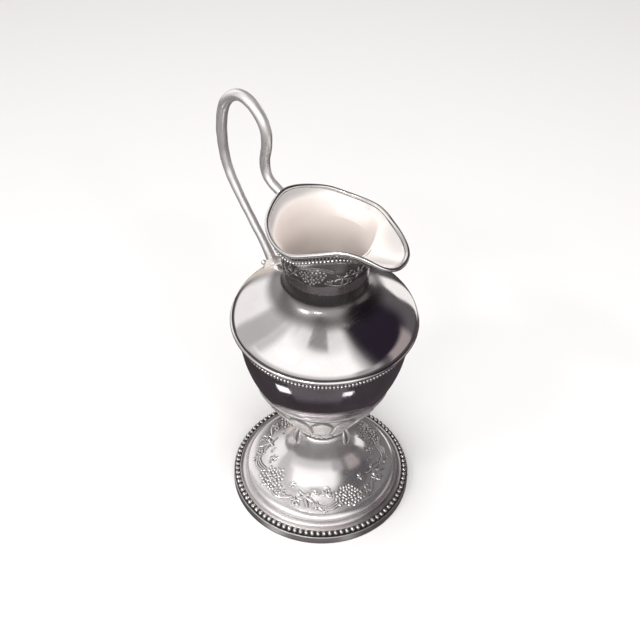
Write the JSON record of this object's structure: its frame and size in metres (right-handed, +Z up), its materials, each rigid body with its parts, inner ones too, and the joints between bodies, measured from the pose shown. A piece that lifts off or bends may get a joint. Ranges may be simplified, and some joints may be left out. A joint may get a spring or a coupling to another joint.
{
  "type": "cream jug",
  "caption": "Ewer-shaped metal cream jug on a beaded domed foot, with a chased neck, broad everted spout and tall loop handle, for serving cream or milk.",
  "frame": {"origin": "on the body's axis, in the plane that the foot stands on", "axes": "+Z up along the body's axis, +X to the tip of the spout, handle on -X, the jug is symmetric about the XZ plane"},
  "size_m": [0.107, 0.0844, 0.1912],
  "materials": {
    "polished_silver": "polished, fine handling scratches",
    "bright_silver": "bright white silver, softly brushed inside",
    "worn_silver": "polished but pitted and worn",
    "shaded_silver": "polished under a thin violet-grey tarnish",
    "chased_silver": "chased, with dark oxidised recesses",
    "beaded_silver": "bright bead tops, dark between the beads"
  },
  "bodies": {
    "root": {"foot_rim": "polished_silver", "foot_bead_wire": "beaded_silver", "foot_dome": "polished_silver", "foot_collar": "worn_silver", "collar_leaves": "worn_silver", "bowl": "shaded_silver", "bowl_calyx": "worn_silver", "girdle_bead_wire": "beaded_silver", "shoulder_edge_wire": "polished_silver", "shoulder": "polished_silver", "neck": "chased_silver", "neck_bead_wire": "beaded_silver", "lip": "bright_silver", "rim_wire": "polished_silver", "handle": "worn_silver", "handle_foot": "bright_silver", "handle_knop": "worn_silver", "handle_top_pad": "worn_silver"}
  },
  "joints": []
}
